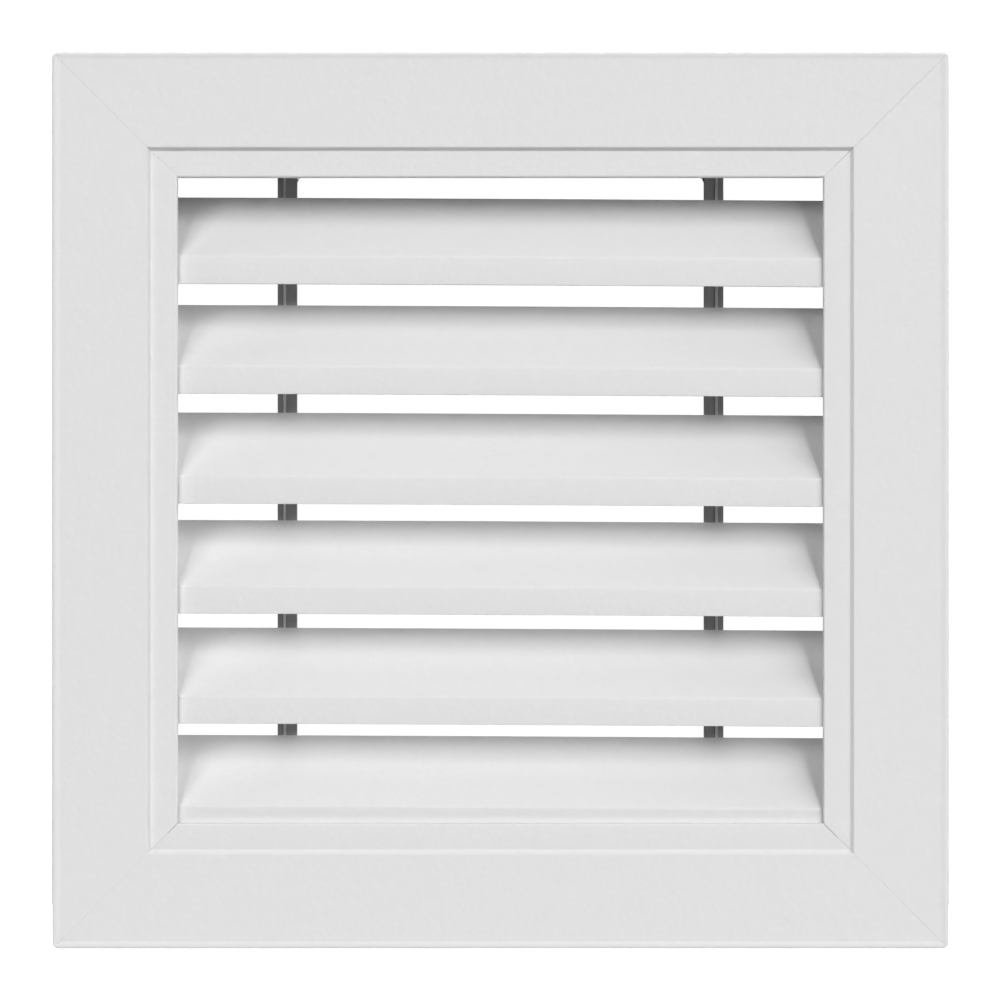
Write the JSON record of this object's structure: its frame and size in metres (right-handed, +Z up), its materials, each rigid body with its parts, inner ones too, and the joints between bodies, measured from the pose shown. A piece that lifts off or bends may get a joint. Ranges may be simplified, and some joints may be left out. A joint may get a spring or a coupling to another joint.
{
  "type": "louvred vent grille",
  "caption": "Square white vent grille with a mitred flanged frame, fixed sloping louvres carried on two dark combs, and a neck that goes into a square duct.",
  "frame": {"origin": "centre of the square neck, on the wall plane that the back of the rim rests on", "axes": "+Y along the neck into the duct, +X to the right seen from the room, +Z up"},
  "size_m": [0.203, 0.0363, 0.203],
  "materials": {
    "frame_enamel": "satin",
    "louvre_enamel": "satin",
    "key_steel": "zinc plated",
    "comb_plastic": "moulded matt",
    "screw_zinc": "zinc plated"
  },
  "bodies": {
    "root": {"frame_bottom": "frame_enamel", "frame_left": "frame_enamel", "frame_top": "frame_enamel", "frame_right": "frame_enamel", "corner_key_bottom_left": "key_steel", "corner_key_top_left": "key_steel", "corner_key_top_right": "key_steel", "corner_key_bottom_right": "key_steel", "louvre_1": "louvre_enamel", "louvre_2": "louvre_enamel", "louvre_3": "louvre_enamel", "louvre_4": "louvre_enamel", "louvre_5": "louvre_enamel", "louvre_6": "louvre_enamel", "comb_left": "comb_plastic", "comb_screw_bottom_left": "screw_zinc", "comb_screw_top_left": "screw_zinc", "comb_right": "comb_plastic", "comb_screw_bottom_right": "screw_zinc", "comb_screw_top_right": "screw_zinc"}
  },
  "joints": []
}
